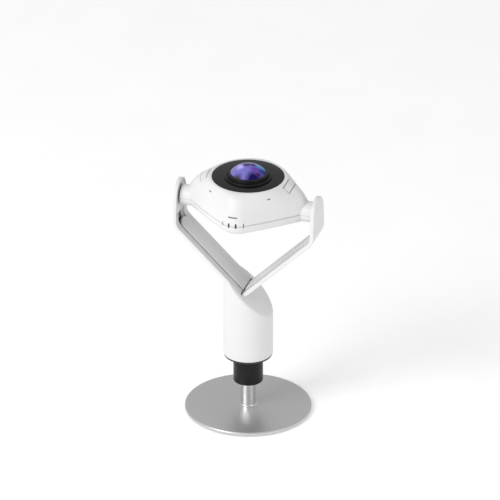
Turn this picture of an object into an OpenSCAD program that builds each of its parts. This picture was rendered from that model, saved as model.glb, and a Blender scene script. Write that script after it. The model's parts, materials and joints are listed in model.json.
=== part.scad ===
// Table-top all-round conference camera: a disc stand with a polished stem, a swivelling white
// column whose top is cut at a slant, a V-shaped yoke of two bent arms, and a diamond-shaped
// camera head that tilts between the arm tips and carries an upward-looking fisheye lens.
// Millimetres, +Z up. The origin is the centre of the stand's underside on the table.
// +X points to the right arm tip along the tilt axis, -Y is the front of the camera.

/* [Stand] */
// Diameter of the base disc
base_d = 102; // [94:1:110]
// Height of the base disc's top face above the table
base_h = 3.8; // [3.4:0.1:5]
// Diameter of the anti-slip ring under the disc
pad_d = 92; // [80:1:94]
// Diameter of the polished stem
stem_d = 12; // [11:0.5:13]
// Radius of the flare at the stem's foot
stem_flare = 1.2; // [0.6:0.2:3]
// Diameter of the black collar above the stem
collar_d = 24; // [20:0.5:28]
// Height of the collar's lower edge above the table
collar_z = 25.8; // [20:0.2:30]

/* [Column] */
// Diameter of the white column
column_d = 40; // [38:1:44]
// Height of the column's lower edge above the table
column_z = 51.2; // [50:0.2:54]
// Height of the slanted top face where it crosses the column's axis
cut_z = 108.3; // [104:0.5:112]
// Wall thickness of the column
column_wall = 2; // [1.6:0.2:2.6]

/* [Yoke] */
// Slope of the arms and of the column's top face, from the horizontal
arm_angle = 44.5; // [42:0.5:47]
// Distance from the axis to the outer face of an upright arm tip
arm_x = 59; // [58:0.5:62]
// Width of the arms, front to back
arm_w = 30; // [28:1:32]
// Thickness of the arms at their rims
arm_t = 3.2; // [3:0.1:3.6]
// Outer radius of the bend at each elbow
elbow_r = 13; // [10:1:16]
// Radius of the rounded arm tips around the tilt axis
tip_r = 13.5; // [12.5:0.5:14.5]

/* [Head] */
// Height of the tilt axis above the table
pivot_z = 185.3; // [180:0.5:190]
// Reach of the head's side corners from its centre
side_reach = 51.5; // [50:0.5:52]
// Reach of the head's front and back corners from its centre
front_reach = 44.2; // [42:0.5:46]
// Corner radius at the front and back of the head
front_corner_r = 14; // [10:1:16]
// Height of the dome above the tilt axis
dome_h = 24.4; // [23:0.2:26]
// Depth of the lower shell below the tilt axis
belly_h = 10; // [9:0.5:11]
// Diameter of the black deck around the lens
deck_d = 58; // [56:1:60]
// Wall thickness of the head's shells
shell_wall = 1.8; // [1.6:0.1:2]

/* [Lens] */
// Diameter of the lens barrel
barrel_d = 33; // [32:0.5:34]
// Height of the barrel's rim above the deck
barrel_rise = 3.9; // [3:0.1:5]
// Diameter of the front glass
glass_d = 28.2; // [27:0.2:29]
// Height of the front glass above the barrel's rim
glass_rise = 5.8; // [5:0.2:6.4]

/* [Hidden] */
$fn = 96;
eps = 0.01;

white = [0.94, 0.94, 0.93];
pale_grey = [0.78, 0.78, 0.77];
satin_grey = [0.66, 0.66, 0.66];
black = [0.12, 0.12, 0.12];
steel = [0.72, 0.73, 0.75];
brass = [0.78, 0.62, 0.3];
board_green = [0.1, 0.32, 0.2];

// Heights in the stand
pad_t = 0.9;
disc_underside = 0.5;
column_r = column_d / 2;
end_plate_h = 1.8;
end_plate_z = column_z - end_plate_h;
washer_t = 0.4;
collar_top = end_plate_z - washer_t;
stem_top = collar_top - 4;
stud_r = 3.1;
stud_top = column_z + 8;

// The yoke's geometry in the XZ plane. Each arm's outer face starts at its foot point, rises at
// arm_angle, turns through the elbow and stands upright at arm_x.
tan_a = tan(arm_angle);
right_foot_x = 1.2;
right_foot = [right_foot_x, cut_z - right_foot_x * tan_a];
left_foot_x = 3.2;
left_foot = [left_foot_x, cut_z - arm_t / cos(arm_angle) + left_foot_x * tan_a];
function bend_start_x() = arm_x - elbow_r + elbow_r * sin(arm_angle);
function elbow_centre(foot) = [
    arm_x - elbow_r,
    foot.y + (bend_start_x() - foot.x) * tan_a + elbow_r * cos(arm_angle)
];
function slant_length(foot) = (bend_start_x() - foot.x) / cos(arm_angle);

bend_steps = 16;
skin_t = 1;
lip_w = 7.2;
tip_lip_w = 1.8;
plate_gap = 0.25;
groove_w = 0.9;
cover_rise = 0.9;
cover_t = 1.3;
cover_top = arm_t + cover_rise;
plate_t = 1.2;
plate_sink = 0.5;
cable_t = 0.3;
cable_w = 8;
bush_r = 4.2;
axle_r = 3;
axle_end_x = arm_x - 1.4;
bush_in_x = arm_x - 3.5;
bush_out_x = arm_x - 1;

// The head's plan: two front and back corner circles and two side corner circles, joined by
// slightly bulging flanks that touch both
neck_r = 8.4;
side_corner_r = 7.4;
neck_x = 54.9;
front_c = front_reach - front_corner_r;
side_c = side_reach - side_corner_r;
flank_turn = acos((front_corner_r - side_corner_r) / norm([side_c, front_c]))
    - atan2(front_c, side_c);
flank_d = front_c * sin(flank_turn) + front_corner_r;
side_end = atan2(side_corner_r * sin(flank_turn), side_c + side_corner_r * cos(flank_turn));
front_start = atan2(front_c + front_corner_r * sin(flank_turn), front_corner_r * cos(flank_turn));
flank_bulge = 0.8;
function first_quadrant(a) = atan2(abs(sin(a)), abs(cos(a)));
function flank_r(q) =
    (flank_d + flank_bulge * sin(180 * (q - side_end) / (front_start - side_end)))
    / cos(q - flank_turn);
function side_r(q) = side_c * cos(q) + sqrt(pow(side_corner_r, 2) - pow(side_c * sin(q), 2));
function front_r(q) = front_c * sin(q) + sqrt(pow(front_corner_r, 2) - pow(front_c * cos(q), 2));
function plan_r(a) = let (q = first_quadrant(a))
    q < side_end ? side_r(q) : q > front_start ? front_r(q) : flank_r(q);

// Shell curves: a superellipse from the seam to the deck's rim, and a rounder one below the seam
dome_power = 1.7;
belly_power = 2.3;
rim_r = deck_d / 2 + 1.3;
hole_r = deck_d / 2 + 0.15;
ledge_r = deck_d / 2 - 2;
ledge_t = 1.4;
crown_t = 2.1;
deck_t = 1.6;
deck_top = dome_h - 0.25;
band_h = 1;
band_gap = 0.2;
belly_scale = 0.66;
ring_steps = 72;
curve_steps = 10;

deck_z = pivot_z + deck_top;
barrel_r = barrel_d / 2;
barrel_top = deck_top + barrel_rise;
glass_r = glass_d / 2;
glass_sphere_r = (pow(glass_r, 2) + pow(glass_rise, 2)) / (2 * glass_rise);

// Places of the small parts on the dome
key_tilt = 30;
key_centre = [35.7, 0, 22.9];
key_window_half_w = 3.3;
key_window_y = [-9.6, 5.4];
key_split_y = -1.2;
key_gap = 0.3;
key_rim_z = -5.4;
key_rim_t = 0.7;
key_rim_w = 0.4;
key_pin_end = -6.4;
switch_top = key_pin_end - 0.55;
key_board_z = switch_top - 2.7;
front_key_y = [key_window_y[0] + key_gap, key_split_y - key_gap / 2];
back_key_y = [key_split_y + key_gap / 2, key_window_y[1] - key_gap];
light_half_w = 3.8;
light_z = 7.4;
light_h = 1.1;
dash_place = [24.4, -24.1, 18.9];
dash_tilt = 25;
grille_r = front_corner_r - shell_wall - 0.9;
grille_t = 0.8;
shell_screw_r = 28.5;
shell_screw_angles = [55, 125, 235, 305];

// ---------------------------------------------------------------- helpers

// A closed surface through rings of equal length: wrapped round on itself, or capped at its ends
module loft(rings, wrap = false) {
    n = len(rings[0]);
    m = len(rings);
    last = wrap ? m : m - 1;
    points = [for (ring = rings) each ring];
    sides = [
        for (j = [0 : last - 1], i = [0 : n - 1])
            let (
                a = j * n + i,
                b = j * n + (i + 1) % n,
                c = ((j + 1) % m) * n + (i + 1) % n,
                d = ((j + 1) % m) * n + i
            )
            each [[a, b, c], [a, c, d]]
    ];
    caps = wrap ? [] : [
        [for (i = [n - 1 : -1 : 0]) i],
        [for (i = [0 : n - 1]) (m - 1) * n + i]
    ];
    polyhedron(points = points, faces = concat(sides, caps), convexity = 6);
}

// A ring of the head's plan shape, its radii worked out by mixing a circle and the plan
function head_ring(circle_r, plan_scale, inset, share, z) = [
    for (i = [0 : ring_steps - 1])
        let (
            a = 360 * i / ring_steps,
            plan = plan_r(a) - inset,
            core = circle_r + plan_scale * plan,
            r = core + (plan - core) * share
        )
        [r * cos(a), r * sin(a), z]
];

function curve_out(t, power) = pow(cos(t), 2 / power);
function curve_up(t, power) = pow(sin(t), 2 / power);

module tube(outer_r, inner_r, h) {
    difference() {
        cylinder(r = outer_r, h = h);
        translate([0, 0, -1]) cylinder(r = inner_r, h = h + 2);
    }
}

module pan_screw(r, length, head_r, head_h) {
    cylinder(r = head_r, h = head_h);
    translate([0, 0, -length]) cylinder(r = r, h = length + eps);
}

// Both sides of the head or of the yoke
module both_sides() {
    children();
    mirror([1, 0, 0]) children();
}

module at_pivot() {
    translate([0, 0, pivot_z]) children();
}

// ---------------------------------------------------------------- stand

module base_disc() {
    bevel = 0.7;
    r = base_d / 2;
    recess_r = pad_d / 2 + 0.2;
    color(satin_grey)
    difference() {
        rotate_extrude()
            polygon([
                [0, pad_t], [recess_r, pad_t], [recess_r, disc_underside],
                [r - bevel, disc_underside], [r, disc_underside + bevel],
                [r, base_h - bevel], [r - bevel, base_h], [0, base_h]
            ]);
        translate([0, 0, -1]) cylinder(r = 2.7, h = base_h + 2);
        translate([0, 0, pad_t - eps]) cylinder(r1 = 5, r2 = 2.7, h = 2.3);
    }
}

module base_pad() {
    color(black) tube(pad_d / 2, 12, pad_t);
}

module base_screw() {
    socket_d = 3;
    color(steel)
    translate([0, 0, pad_t])
    difference() {
        union() {
            cylinder(r1 = 4.9, r2 = 2.5, h = 2.3);
            cylinder(r = 2.5, h = 13);
        }
        translate([0, 0, -eps]) cylinder(d = socket_d, h = 1.6, $fn = 6);
    }
}

// The stem's profile flares to its foot with a quarter round, and a spigot enters the collar
module stem() {
    r = stem_d / 2;
    flare = [for (t = [0 : 10 : 90]) [
        r + stem_flare * (1 - sin(t)), base_h + stem_flare * (1 - cos(t))
    ]];
    color(steel)
    difference() {
        rotate_extrude() polygon(concat([[0, base_h]], flare, [[r, stem_top], [0, stem_top]]));
        translate([0, 0, base_h - 1]) cylinder(r = 2.5, h = 11.2);
        translate([0, 0, stem_top - 8]) cylinder(r = stud_r, h = 9);
    }
}

module stand_stud() {
    color(steel)
    translate([0, 0, stem_top - 8]) cylinder(r = stud_r, h = stud_top - stem_top + 8);
}

module collar() {
    bevel = 0.6;
    r = collar_d / 2;
    inner = stem_d / 2;
    web = stem_top;
    color(black)
    rotate_extrude()
        polygon([
            [inner, collar_z], [r - bevel, collar_z], [r, collar_z + bevel],
            [r, collar_top - bevel], [r - bevel, collar_top], [stud_r, collar_top],
            [stud_r, web], [inner, web]
        ]);
}

module swivel_washer() {
    color(pale_grey) translate([0, 0, collar_top]) tube(10.5, stud_r + 0.3, washer_t);
}

// ---------------------------------------------------------------- column

module thread_insert() {
    color(brass)
    translate([0, 0, column_z]) {
        difference() {
            union() {
                cylinder(r = 5, h = 9.4);
                cylinder(r = 7, h = 1.4);
            }
            translate([0, 0, -1]) cylinder(r = stud_r + 0.06, h = 9.2);
        }
    }
}

end_plate_screw_r = 13;
end_plate_bosses = [60, 180, 300];

module end_plate() {
    r = column_r - 0.5;
    color(black)
    difference() {
        union() {
            translate([0, 0, end_plate_z]) cylinder(r = r, h = end_plate_h);
            translate([0, 0, column_z - eps]) tube(column_r - column_wall - 0.1, 15.4, 1.1);
            translate([0, 0, column_z + 1.4]) tube(8.4, 5, 4);
            translate([0, 0, column_z - eps]) tube(8.4, 7, 1.5);
        }
        translate([0, 0, end_plate_z - 1]) cylinder(r = stud_r + 0.3, h = 3);
        for (a = end_plate_bosses)
            rotate(a) translate([end_plate_screw_r, 0, end_plate_z - 1]) {
                cylinder(r = 1.2, h = 5);
                cylinder(r = 2.1, h = 2.1);
            }
    }
}

module end_plate_screws() {
    color(steel)
    for (a = end_plate_bosses)
        rotate(a) translate([end_plate_screw_r, 0, end_plate_z + 1.05])
            mirror([0, 0, 1]) pan_screw(1.1, 6, 2, 0.9);
}

// Everything that lies below a plane parallel to the slanted face
module below_cut(depth) {
    reach = 200;
    translate([0, 0, cut_z - depth])
        rotate([0, arm_angle, 0])
            translate([-reach / 2, -reach / 2, -reach]) cube([reach, reach, reach]);
}

usb_z = column_z + 13;

// A socket's rounded outline, lying along X, extruded along Y
module socket_outline(w, h, depth) {
    rotate([90, 0, 0])
        linear_extrude(depth) {
            square([w - h, h], center = true);
            for (x = [-1, 1]) translate([x * (w - h) / 2, 0]) circle(d = h, $fn = 32);
        }
}

// The column's outer form: a round rod with a slanted top and a rounded rim all the way round it
module column_body() {
    rim_in = 1.8;
    rim_down = 2.4;
    turns = [for (i = [0 : ring_steps - 1]) 360 * i / ring_steps];
    rim_rings = [for (t = [90 : -22.5 : 0])
        let (r = column_r - rim_in * (1 - cos(t)))
        [for (a = turns) [r * cos(a), r * sin(a), cut_z - r * cos(a) * tan_a - rim_down * (1 - sin(t))]]
    ];
    foot_ring = [for (a = turns) [column_r * cos(a), column_r * sin(a), column_z]];
    loft(concat(rim_rings, [foot_ring]));
}

module column_shell() {
    color(white)
    difference() {
        union() {
            difference() {
                column_body();
                intersection() {
                    translate([0, 0, column_z - 1])
                        cylinder(r = column_r - column_wall, h = 120);
                    below_cut(arm_t / cos(arm_angle) + column_wall / cos(arm_angle));
                }
            }
            for (a = end_plate_bosses)
                rotate(a) translate([end_plate_screw_r, 0, column_z + 1.2]) {
                    cylinder(r = 2.2, h = 8);
                    translate([0, -1.4, 0]) cube([column_r - end_plate_screw_r - 1, 2.8, 8]);
                }
        }
        for (a = end_plate_bosses)
            rotate(a) translate([end_plate_screw_r, 0, column_z])
                cylinder(r = 1.1, h = 7);
        translate([0, column_r + 1, usb_z]) socket_outline(9.6, 3.8, 6);
        mirror([1, 0, 0]) arm_slab(left_foot, 0, arm_t + 1, arm_w, 0);
        left_root_screws() cylinder(r = 1.2, h = 12);
        right_root_screws() cylinder(r = 0.9, h = 12);
        cable_slot(-6);
    }
}

module usb_port() {
    color(steel)
    translate([0, column_r - 0.9, usb_z])
    difference() {
        socket_outline(8.9, 3.2, 7.4);
        translate([0, eps, 0]) socket_outline(8.3, 2.6, 5.5);
    }
}

// The socket's board stands on the end plate by a narrow leg
module usb_board() {
    board_t = 1.2;
    leg_h = usb_z - 1.6 - board_t - column_z;
    color(board_green)
    translate([0, column_r - 11.2, column_z]) {
        translate([-6, 0, leg_h]) cube([12, 7.8, board_t]);
        translate([-3, 0, 0]) cube([6, board_t, leg_h + eps]);
    }
}

// ---------------------------------------------------------------- yoke

// The arm's outline in the XZ plane between two depths below its outer face, from a start
// along its slanted leg up to a height
module arm_outline(foot, depth0, depth1, start, top) {
    c = elbow_centre(foot);
    slant_start = foot + start * [cos(arm_angle), sin(arm_angle)];
    inward = [-sin(arm_angle), cos(arm_angle)];
    turns = [for (k = [0 : bend_steps]) (arm_angle - 90) * (1 - k / bend_steps)];
    outer = [for (t = turns) c + (elbow_r - depth0) * [cos(t), sin(t)]];
    inner = [for (k = [bend_steps : -1 : 0]) c + (elbow_r - depth1) * [cos(turns[k]), sin(turns[k])]];
    polygon(concat(
        [slant_start + depth0 * inward], outer,
        [[arm_x - depth0, top], [arm_x - depth1, top]],
        inner, [slant_start + depth1 * inward]
    ));
}

module arm_slab(foot, depth0, depth1, w, start, top = pivot_z + 20) {
    translate([0, w / 2, 0]) rotate([90, 0, 0])
        linear_extrude(w) arm_outline(foot, depth0, depth1, start, top);
}

// The arm's outline seen along X: parallel sides that taper to the round tip
module tip_side(half_w, r, low, reach = 80) {
    taper = asin((half_w - r) / 14);
    rotate([90, 0, 90]) linear_extrude(reach) {
        translate([0, pivot_z]) circle(r = r);
        polygon([
            [-half_w, low], [half_w, low], [half_w, pivot_z - 14],
            [r * cos(taper), pivot_z + r * sin(taper)],
            [-r * cos(taper), pivot_z + r * sin(taper)], [-half_w, pivot_z - 14]
        ]);
    }
}

// The lower edge of the plate in the upright, a little above the elbow
function plate_low(foot) = elbow_centre(foot).y + 4;

module above(z) {
    translate([-1, -arm_w, z]) cube([80, 2 * arm_w, 80]);
}

module arm_shell(foot, start) {
    recess_w = arm_w - 2 * tip_lip_w;
    recess_r = tip_r - tip_lip_w;
    difference() {
        intersection() {
            arm_slab(foot, 0, arm_t, arm_w, start);
            tip_side(arm_w / 2, tip_r, 80);
        }
        arm_slab(foot, skin_t, arm_t + 1, arm_w - 2 * lip_w, start, pivot_z);
        translate([arm_x - arm_t - 1, 0, 0]) intersection() {
            tip_side(recess_w / 2, recess_r, 100, arm_t + 1 - skin_t);
            above(plate_low(foot) - plate_gap);
        }
    }
}

module arm_cover(foot, start) {
    w = arm_w - 2 * lip_w - 2 * groove_w;
    end_s = slant_length(foot) - 1;
    chamfer = 0.5;
    tab = 4.4;
    difference() {
        translate([foot.x, 0, foot.y]) rotate([0, -arm_angle, 0])
            translate([0, 0, cover_top - cover_t])
            union() {
                translate([start, -w / 2, 0]) cube([end_s - start, w, cover_t - chamfer]);
                translate([start, -w / 2 + chamfer, 0]) cube([end_s - start, w - 2 * chamfer, cover_t]);
                translate([end_s, 0, 0]) cylinder(r = w / 2, h = cover_t - chamfer);
                translate([end_s, 0, 0]) cylinder(r = w / 2 - chamfer, h = cover_t);
            }
        translate([foot.x, 0, foot.y]) rotate([0, -arm_angle, 0])
            translate([start + 3, -tab / 2, cover_top - 0.4])
            difference() {
                cube([tab + 1, tab, 1]);
                translate([0.5, 0.5, -1]) cube([tab, tab - 1, 3]);
            }
    }
}

// The plate that fills the upright's recess and holds the pivot bush
module tip_plate(foot) {
    half_w = arm_w / 2 - tip_lip_w - plate_gap;
    depth0 = arm_t - plate_sink - plate_t;
    difference() {
        translate([arm_x - depth0 - plate_t, 0, 0]) intersection() {
            tip_side(half_w, tip_r - tip_lip_w - plate_gap, 100, plate_t);
            above(plate_low(foot));
        }
        at_pivot() rotate([0, 90, 0]) translate([0, 0, 50]) cylinder(r = bush_r, h = 12);
    }
}

module left_arm_shell() {
    color(white)
    difference() {
        mirror([1, 0, 0]) arm_shell(left_foot, 1.2);
        left_root_screws() cylinder(r = 1.2, h = 12);
        cable_slot(0);
    }
}

module right_arm_shell() {
    color(white)
    difference() {
        arm_shell(right_foot, 1.2);
        right_root_screws() cylinder(r = 0.9, h = 12);
    }
}

module left_arm_cover() {
    color(pale_grey) mirror([1, 0, 0]) arm_cover(left_foot, 1.6);
}

module right_arm_cover() {
    color(pale_grey) arm_cover(right_foot, 1.6);
}

module left_tip_plate() {
    color(pale_grey) rotate(180) tip_plate(left_foot);
}

module right_tip_plate() {
    color(pale_grey) tip_plate(right_foot);
}

// Screws from inside the column hold each arm's root. Both sets stand square to the slanted
// face and start at the column's slanted inner wall.
root_depth = arm_t + column_wall;

module in_cut_plane(x, y) {
    translate([0, 0, cut_z]) rotate([0, arm_angle, 0]) translate([x, y, -root_depth]) children();
}

module left_root_screws() {
    for (y = [-10, 10]) in_cut_plane(-9, y) children();
}

module right_root_screws() {
    for (y = [-11, 11]) in_cut_plane(0.1, y) children();
}

module arm_root_screws() {
    color(steel) {
        left_root_screws() mirror([0, 0, 1]) pan_screw(1.2, 3.6, 2.2, 1.2);
        right_root_screws() mirror([0, 0, 1]) pan_screw(0.9, 9.4, 1.8, 1);
    }
}

module pivot_bushes() {
    color(brass)
    at_pivot() both_sides() rotate([0, 90, 0]) translate([0, 0, bush_in_x])
        tube(bush_r, axle_r + 0.06, bush_out_x - bush_in_x);
}

module friction_washers() {
    color(black)
    at_pivot() both_sides() rotate([0, 90, 0]) translate([0, 0, neck_x + 0.1])
        tube(7.4, axle_r + 0.1, 0.45);
}

// The flat cable lies on the left channel's floor and drops through a slot into the column
cable_s = 5;

module cable_slot(below) {
    mirror([1, 0, 0]) translate([left_foot.x, 0, left_foot.y]) rotate([0, -arm_angle, 0])
        translate([cable_s - 0.3, -cable_w / 2 - 0.3, below - 1])
        cube([1.2, cable_w + 0.6, skin_t + 2 - below]);
}

module arm_cable() {
    lift = 0.1;
    drop = 8;
    color(black) {
        mirror([1, 0, 0]) arm_slab(left_foot, skin_t + lift, skin_t + lift + cable_t, cable_w,
            cable_s, pivot_z - bush_r - 0.6);
        mirror([1, 0, 0]) translate([left_foot.x, 0, left_foot.y]) rotate([0, -arm_angle, 0])
            translate([cable_s, -cable_w / 2, -drop]) cube([cable_t, cable_w, drop + skin_t + lift + cable_t / 2]);
    }
}

// ---------------------------------------------------------------- head shells

// The dome's outer surface from the deck's rim down to the seam band
dome_start = asin(pow(band_h / dome_h, dome_power / 2));
dome_rings = [for (k = [0 : curve_steps])
    let (t = 90 - (90 - dome_start) * k / curve_steps)
    head_ring(rim_r, 0, 0, curve_out(t, dome_power), dome_h * curve_up(t, dome_power))];

module dome_solid() {
    loft(dome_rings);
}

module dome_wall() {
    inner_h = dome_h - crown_t;
    inner_start = asin(pow(band_h / inner_h, dome_power / 2));
    ledge_top = deck_top - deck_t;
    ledge_steps = [
        [ledge_r, ledge_top - ledge_t], [ledge_r, ledge_top], [hole_r, ledge_top], [hole_r, dome_h]
    ];
    ledge = [for (step = ledge_steps) head_ring(step[0], 0, 0, 0, step[1])];
    inner = [for (k = [0 : curve_steps])
        let (t = inner_start + (90 - inner_start) * k / curve_steps)
        head_ring(rim_r, 0, shell_wall, curve_out(t, dome_power),
            inner_h * curve_up(t, dome_power))];
    loft(concat(dome_rings, inner, ledge), wrap = true);
}

module shell_screw_places() {
    for (a = shell_screw_angles) rotate(a) translate([shell_screw_r, 0, 0]) children();
}

module head_top_shell() {
    boss_top = deck_top - deck_t - ledge_t / 2;
    color(white) at_pivot()
    difference() {
        union() {
            dome_wall();
            necks(0.1, neck_r);
            shell_screw_places() translate([0, 0, band_h]) cylinder(r = 2.4, h = boss_top - band_h);
        }
        neck_bore();
        both_sides() {
            key_window();
            dash_slot();
        }
        light_window(0);
        mic_slots();
        shell_screw_places() cylinder(r = 1.2, h = 9);
    }
}

module head_bottom_shell() {
    inner_h = belly_h - shell_wall;
    outer = [for (k = [0 : curve_steps])
        let (t = 90 * k / curve_steps)
        head_ring(0, belly_scale, 0, curve_out(t, belly_power), -belly_h * curve_up(t, belly_power))];
    inner = [for (k = [curve_steps : -1 : 0])
        let (t = 90 * k / curve_steps)
        head_ring(0, belly_scale, shell_wall, curve_out(t, belly_power),
            -inner_h * curve_up(t, belly_power))];
    color(white) at_pivot()
    difference() {
        union() {
            loft(concat(inner, outer));
            necks(-neck_r, -0.1);
            shell_screw_places() translate([0, 0, -inner_h - 0.4])
                cylinder(r = 2.4, h = inner_h + 0.4 + band_h);
            board_screw_places() translate([0, 0, -inner_h - 0.4])
                cylinder(r = 2.4, h = inner_h + 0.4 + main_board_z);
        }
        neck_bore();
        mic_slots();
        board_screw_places() translate([0, 0, -inner_h]) cylinder(r = 1, h = inner_h);
        shell_screw_places() {
            translate([0, 0, -belly_h - 1]) cylinder(r = 2.4, h = 3.2);
            translate([0, 0, -belly_h]) cylinder(r = 1.3, h = belly_h + 2);
        }
    }
}

// The half-round necks that carry the axles, between two heights
module necks(low, high) {
    intersection() {
        both_sides() translate([side_c - 2, 0, 0]) rotate([0, 90, 0])
            cylinder(r = neck_r, h = neck_x - side_c + 2);
        translate([-100, -20, low]) cube([200, 40, high - low]);
    }
}

module neck_bore() {
    both_sides() rotate([0, 90, 0]) {
        translate([0, 0, side_c - 4]) cylinder(r = axle_r, h = 40);
        translate([0, 0, side_c - 2.6]) cylinder(r = 5.5, h = 2.6);
    }
}

module seam_band() {
    low = band_gap;
    high = band_h - band_gap;
    outer = [for (z = [high, low]) head_ring(0, 1, 0.15, 1, z)];
    inner = [for (z = [low, high]) head_ring(0, 1, shell_wall, 1, z)];
    color(pale_grey) at_pivot()
    difference() {
        loft(concat(outer, inner), wrap = true);
        rotate([0, 90, 0]) cylinder(r = neck_r, h = 200, center = true);
        mic_slots();
    }
}

// ---------------------------------------------------------------- axles

module axle(hollow_r) {
    length = axle_end_x - side_c + 2.4;
    at_pivot() rotate([0, 90, 0]) translate([0, 0, side_c - 2.4])
    difference() {
        union() {
            cylinder(r = 5.5, h = 2.4);
            cylinder(r = axle_r, h = length);
        }
        if (hollow_r > 0) translate([0, 0, -1]) cylinder(r = hollow_r, h = length + 2);
    }
}

module left_axle() {
    color(steel) mirror([1, 0, 0]) axle(1.8);
}

module right_axle() {
    color(steel) axle(0);
}

// The leads that pass from the arm to the head through the hollow left axle
module axle_lead() {
    color(black) at_pivot() mirror([1, 0, 0]) rotate([0, 90, 0]) translate([0, 0, 24])
        cylinder(r = 1.3, h = axle_end_x - 24);
}

// ---------------------------------------------------------------- lens

module lens_deck() {
    color(black) at_pivot() translate([0, 0, deck_top - deck_t])
        tube(deck_d / 2, barrel_r + 0.2, deck_t);
}

module lens_ring() {
    ring_r = 19.2;
    color(black) at_pivot()
    rotate_extrude()
        polygon([
            [barrel_r + 0.1, deck_top], [ring_r, deck_top], [ring_r, deck_top + 1],
            [ring_r - 0.5, deck_top + 1.5], [barrel_r + 0.1, deck_top + 1.5]
        ]);
}

barrel_base = 9;

module lens_barrel() {
    seat_r = glass_r + 0.05;
    bevel = 0.5;
    color(black) at_pivot()
    rotate_extrude()
        polygon([
            [7.2, barrel_base], [barrel_r - 5, barrel_base], [barrel_r - 5, deck_top - 4],
            [barrel_r, deck_top - 4], [barrel_r, barrel_top - bevel], [barrel_r - bevel, barrel_top],
            [seat_r, barrel_top], [seat_r, barrel_top - 2], [seat_r - 1.6, barrel_top - 2],
            [seat_r - 4.5, deck_top - 5], [7.2, deck_top - 6]
        ]);
}

// A meniscus: a spherical cap on a short cylinder, hollowed below by a deeper curve
module front_glass() {
    edge_h = 1.9;
    hollow_r = glass_sphere_r * 0.62;
    color([0.35, 0.25, 0.7]) at_pivot() translate([0, 0, barrel_top])
    difference() {
        intersection() {
            translate([0, 0, glass_rise - glass_sphere_r]) sphere(r = glass_sphere_r);
            translate([0, 0, -edge_h]) cylinder(r = glass_r, h = edge_h + glass_rise + 1);
        }
        translate([0, 0, 2.6 - hollow_r]) sphere(r = hollow_r);
    }
}

module inner_lenses() {
    color([0.6, 0.6, 0.8]) at_pivot() {
        translate([0, 0, deck_top - 8]) cylinder(r = 7.1, h = 2.2);
        translate([0, 0, deck_top - 12]) cylinder(r = 7.1, h = 2);
    }
}

module barrel_nut() {
    color(black) at_pivot() translate([0, 0, barrel_base + 0.6]) tube(7.15, 4, 1.6);
}

holder_z = 4;

module lens_holder() {
    color(black) at_pivot()
    difference() {
        union() {
            translate([0, 0, holder_z]) tube(15, 8, 8);
            translate([-17, -17, holder_z]) cube([34, 34, 1.6]);
        }
        translate([0, 0, barrel_base]) cylinder(r = barrel_r - 4.95, h = 10);
        translate([0, 0, holder_z - 1]) cylinder(r = 8, h = 8);
        board_screw_places() cylinder(r = 1.1, h = 30, center = true);
    }
}

module board_screw_places() {
    for (x = [-14.5, 14.5], y = [-14.5, 14.5]) translate([x, y, 0]) children();
}

board_t = 1.2;

module sensor_board() {
    color(board_green) at_pivot()
    difference() {
        translate([-17, -17, holder_z - board_t]) cube([34, 34, board_t]);
        board_screw_places() cylinder(r = 1.1, h = 30, center = true);
    }
}

module image_sensor() {
    color(black) at_pivot() translate([-5, -5, holder_z]) cube([10, 10, 1.2]);
}

module board_screws() {
    color(steel) at_pivot() board_screw_places() translate([0, 0, holder_z + 1.6])
        pan_screw(1, 13, 1.9, 1.1);
}

main_board_z = -5;

module main_board() {
    w = 40;
    color(board_green) at_pivot()
    difference() {
        union() {
            translate([-w / 2, -w / 2, main_board_z]) cube([w, w, board_t]);
            translate([-8, -8, main_board_z + board_t]) cube([16, 16, 1.2]);
            board_screw_places() translate([0, 0, main_board_z]) cylinder(r = 2, h = 7.8);
        }
        board_screw_places() cylinder(r = 1, h = 30, center = true);
    }
}

module heat_spreader() {
    color([0.8, 0.8, 0.82]) at_pivot()
    translate([-15, -11, main_board_z - 2.2]) cube([30, 22, 2.2]);
}

// ---------------------------------------------------------------- details of the dome

// A frame at each dash-shaped slot, with its X axis along the dome's outward normal
module at_dash() {
    translate(dash_place) rotate([0, -dash_tilt, atan2(dash_place.y, dash_place.x)]) children();
}

module dash_slot() {
    at_dash() cube([8, 3.4, 0.7], center = true);
}

module microphones() {
    color(steel) at_pivot() {
        both_sides() at_dash() translate([-4.6, 0, 0]) rotate([0, 90, 0]) cylinder(r = 2, h = 2);
        translate([0, -front_c - grille_r + grille_t + 0.5, 0.8]) rotate([-90, 0, 0])
            cylinder(r = 2, h = 2);
    }
}

// Slots across the seam at the front corner: a narrow, two wide and a narrow one
module mic_slots() {
    low = -1.2;
    height = 4.2;
    for (slot = [[-8.6, 0.7], [-2.9, 1.5], [2.9, 1.5], [8.6, 0.7]])
        translate([slot[0] - slot[1] / 2, -front_reach - 1, low]) cube([slot[1], 6, height]);
}

// A thin black strip that lines the front corner behind the slots
module mic_grille() {
    color(black) at_pivot()
    intersection() {
        translate([0, -front_c, -1.6]) tube(grille_r, grille_r - grille_t, 4.8);
        translate([-15, -front_reach - 1, -5]) cube([30, front_reach - front_c - 3, 20]);
    }
}

module light_window(gap) {
    translate([-light_half_w + gap, -front_reach - 2, light_z + gap])
        cube([2 * (light_half_w - gap), 6.4, light_h - 2 * gap]);
}

module status_light() {
    color("white") at_pivot() intersection() {
        dome_solid();
        light_window(0.05);
    }
}

// A frame on the dome beside the deck, with its Z axis along the keys' line of travel
module at_keys() {
    translate(key_centre) rotate([0, key_tilt, 0]) children();
}

module key_block(span, low, high, half_w) {
    translate([-half_w, span[0], low]) cube([2 * half_w, span[1] - span[0], high - low]);
}

module key_window() {
    at_keys() key_block(key_window_y, -8, 8, key_window_half_w);
}

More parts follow.
